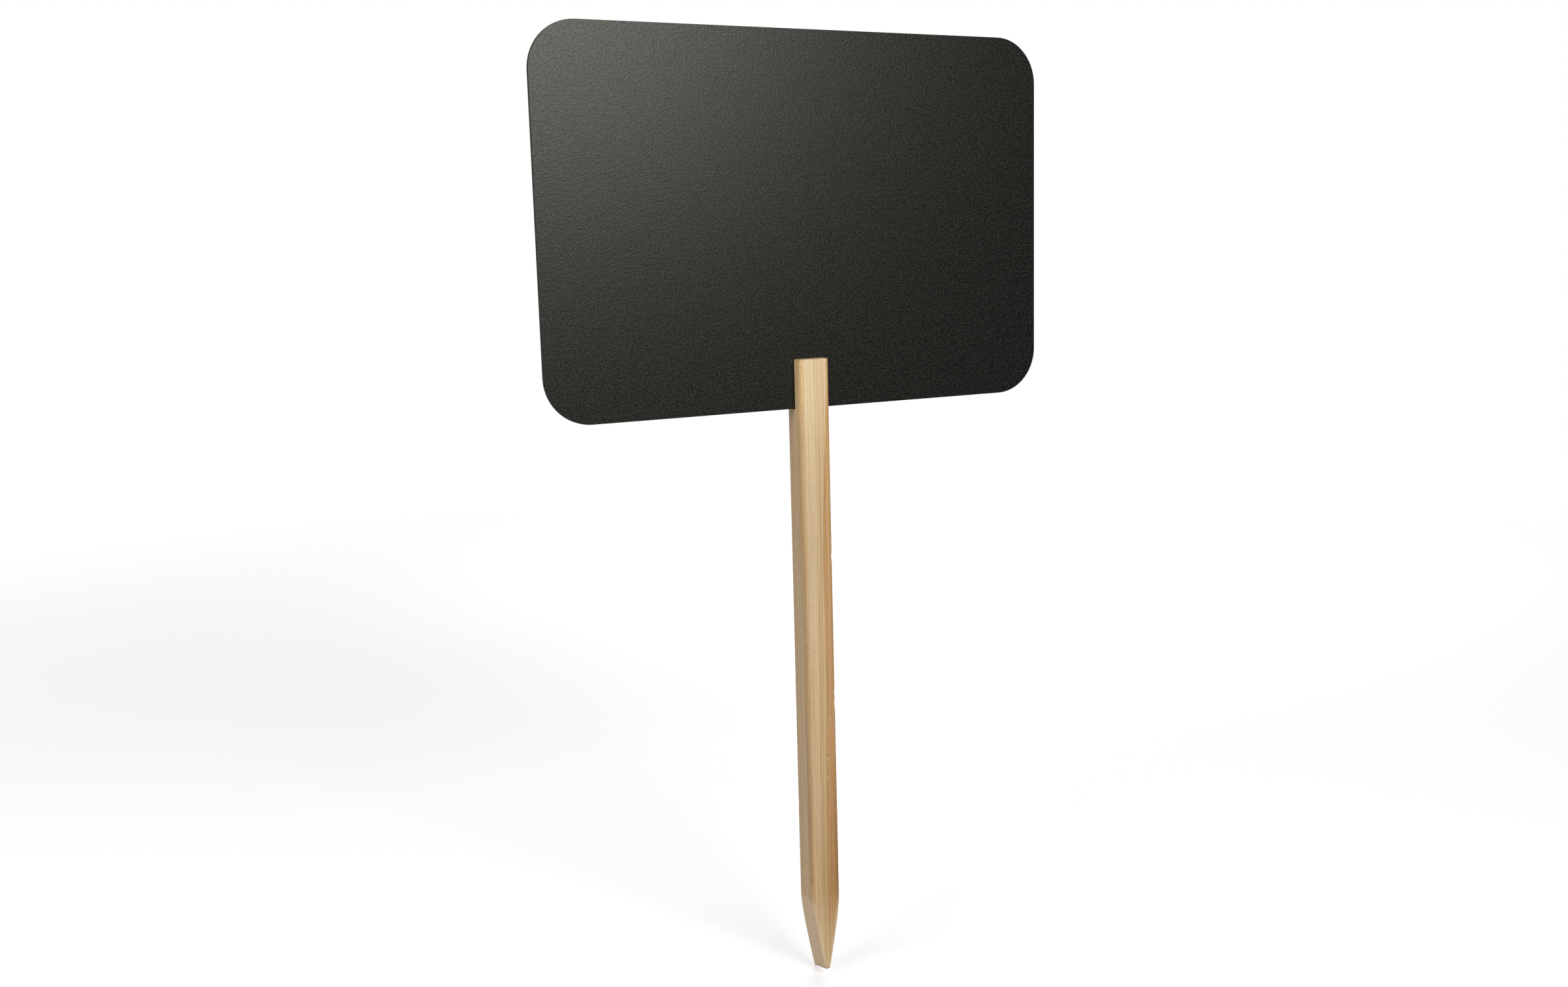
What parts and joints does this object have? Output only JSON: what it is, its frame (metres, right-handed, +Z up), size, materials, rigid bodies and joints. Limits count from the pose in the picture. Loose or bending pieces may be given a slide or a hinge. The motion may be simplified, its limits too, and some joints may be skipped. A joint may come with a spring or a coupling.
{
  "type": "garden label stake",
  "caption": "Chalkboard label with rounded corners that stands in a saw kerf in the head of a pointed wooden stake and lifts out of it, for naming plants in beds and pots.",
  "frame": {"origin": "on the stake's middle line, level with the lowest edge of its blunt point", "axes": "+Z up the stake, -Y the way the front writing face looks, +X to the right for someone who reads it"},
  "size_m": [0.3, 0.016, 0.528],
  "materials": {
    "pine": "bare planed softwood",
    "core": "matt sawn edge",
    "chalk": "fine pebbled matt"
  },
  "bodies": {
    "stake": {"stake": "pine"},
    "board": {"board_core": "core", "front_chalk_sheet": "chalk", "rear_chalk_sheet": "chalk"}
  },
  "joints": [
    {"name": "board_lift", "type": "slide", "parent": "stake", "child": "board", "axis": [0, 0, 1], "range_m": [0, 0.03]}
  ]
}
